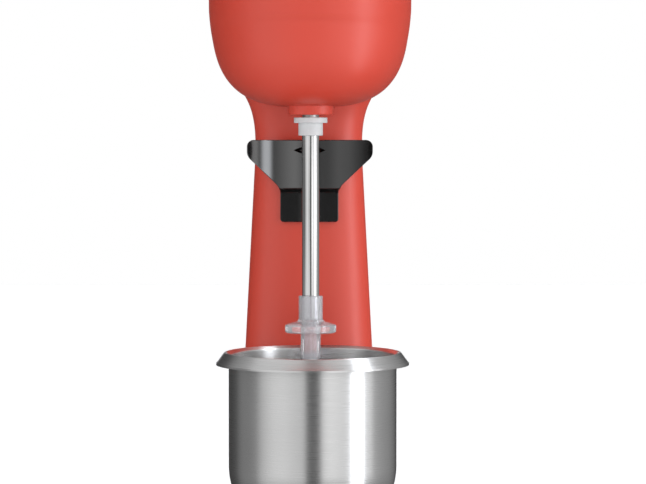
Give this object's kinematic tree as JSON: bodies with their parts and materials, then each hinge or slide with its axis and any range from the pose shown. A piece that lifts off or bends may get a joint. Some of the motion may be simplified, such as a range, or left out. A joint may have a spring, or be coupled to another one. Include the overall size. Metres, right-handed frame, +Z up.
{
  "type": "milkshake mixer",
  "caption": "Free-standing milkshake mixer: rounded motor head on a tapered column, spindle with agitator, black cup holder and steel cup standing in the foot.",
  "frame": {"origin": "on the floor, under the middle of the whole outline (the cup's lip in front, the cord gland behind)", "axes": "+X to the right as seen from the front, +Y from the cup towards the column, +Z up along the spindle"},
  "size_m": [0.17, 0.214, 0.4899],
  "materials": {
    "coral_plastic": "satin",
    "coral_paint": "satin",
    "black_gloss": "gloss",
    "black_matte": "matte",
    "grey_plastic": "satin",
    "clear_plastic": "gloss",
    "steel": "satin",
    "zinc": "satin",
    "aluminium": "satin",
    "lamination": "satin",
    "copper": "satin",
    "brass": "satin",
    "carbon": "matte",
    "rubber": "matte",
    "board": "satin",
    "iron": "matte"
  },
  "bodies": {
    "mixer_body": {"housing": "coral_plastic", "head_cap": "coral_plastic", "rear_cover": "coral_plastic", "foot": "coral_paint", "cup_holder": "black_gloss", "speed_switch_body": "black_gloss", "foot_cover": "black_matte", "micro_switch": "black_matte", "terminal_block": "grey_plastic", "suppressor_capacitor": "grey_plastic", "bearing_lower": "steel", "bearing_upper": "steel", "button_spring": "steel", "brush_spring_left": "steel", "brush_spring_right": "steel", "motor_frame_lower": "zinc", "motor_frame_upper": "zinc", "switch_bracket": "zinc", "cap_screw_left": "zinc", "cap_screw_right": "zinc", "column_screw_1": "zinc", "column_screw_2": "zinc", "column_screw_3": "zinc", "column_screw_4": "zinc", "cover_screw_lower": "zinc", "cover_screw_upper": "zinc", "holder_screw_left": "zinc", "holder_screw_right": "zinc", "motor_screw_left": "zinc", "motor_screw_right": "zinc", "triac_heat_sink": "aluminium", "motor_stator": "lamination", "field_coil_front": "copper", "field_coil_rear": "copper", "brush_holder_left": "brass", "brush_holder_right": "brass", "carbon_brush_left": "carbon", "carbon_brush_right": "carbon", "foot_pad_1": "rubber", "foot_pad_2": "rubber", "foot_pad_3": "rubber", "foot_pad_4": "rubber", "seat_mat": "rubber", "shaft_seal": "rubber", "cord_gland": "rubber", "wire_harness": "rubber", "control_board": "board", "ballast": "iron"},
    "spindle": {"spindle_collar": "grey_plastic", "spindle_rod": "steel", "agitator": "clear_plastic", "motor_shaft": "steel", "armature": "lamination", "winding_lower": "copper", "winding_upper": "copper", "commutator": "brass", "cooling_fan": "black_matte"},
    "cup": {"cup": "steel"},
    "sense_button": {"sense_button": "black_gloss"},
    "speed_rocker": {"speed_rocker": "black_gloss"}
  },
  "joints": [
    {"name": "spindle_spin", "type": "hinge", "parent": "mixer_body", "child": "spindle", "pos_m": [0, -0.036, 0.3], "axis": [0, 0, 1], "continuous": true},
    {"name": "cup_lift", "type": "slide", "parent": "mixer_body", "child": "cup", "axis": [0, 0, 1], "range_m": [0, 0.14]},
    {"name": "button_press", "type": "slide", "parent": "mixer_body", "child": "sense_button", "axis": [0, 1, 0], "range_m": [0, 0.003], "stiffness_N_per_m": 200, "springref_m": -0.002, "deforming": ["button_spring"]},
    {"name": "speed_select", "type": "hinge", "parent": "mixer_body", "child": "speed_rocker", "pos_m": [0, 0.0797, 0.441], "axis": [1, 0, 0], "range_deg": [-10, 10]}
  ]
}
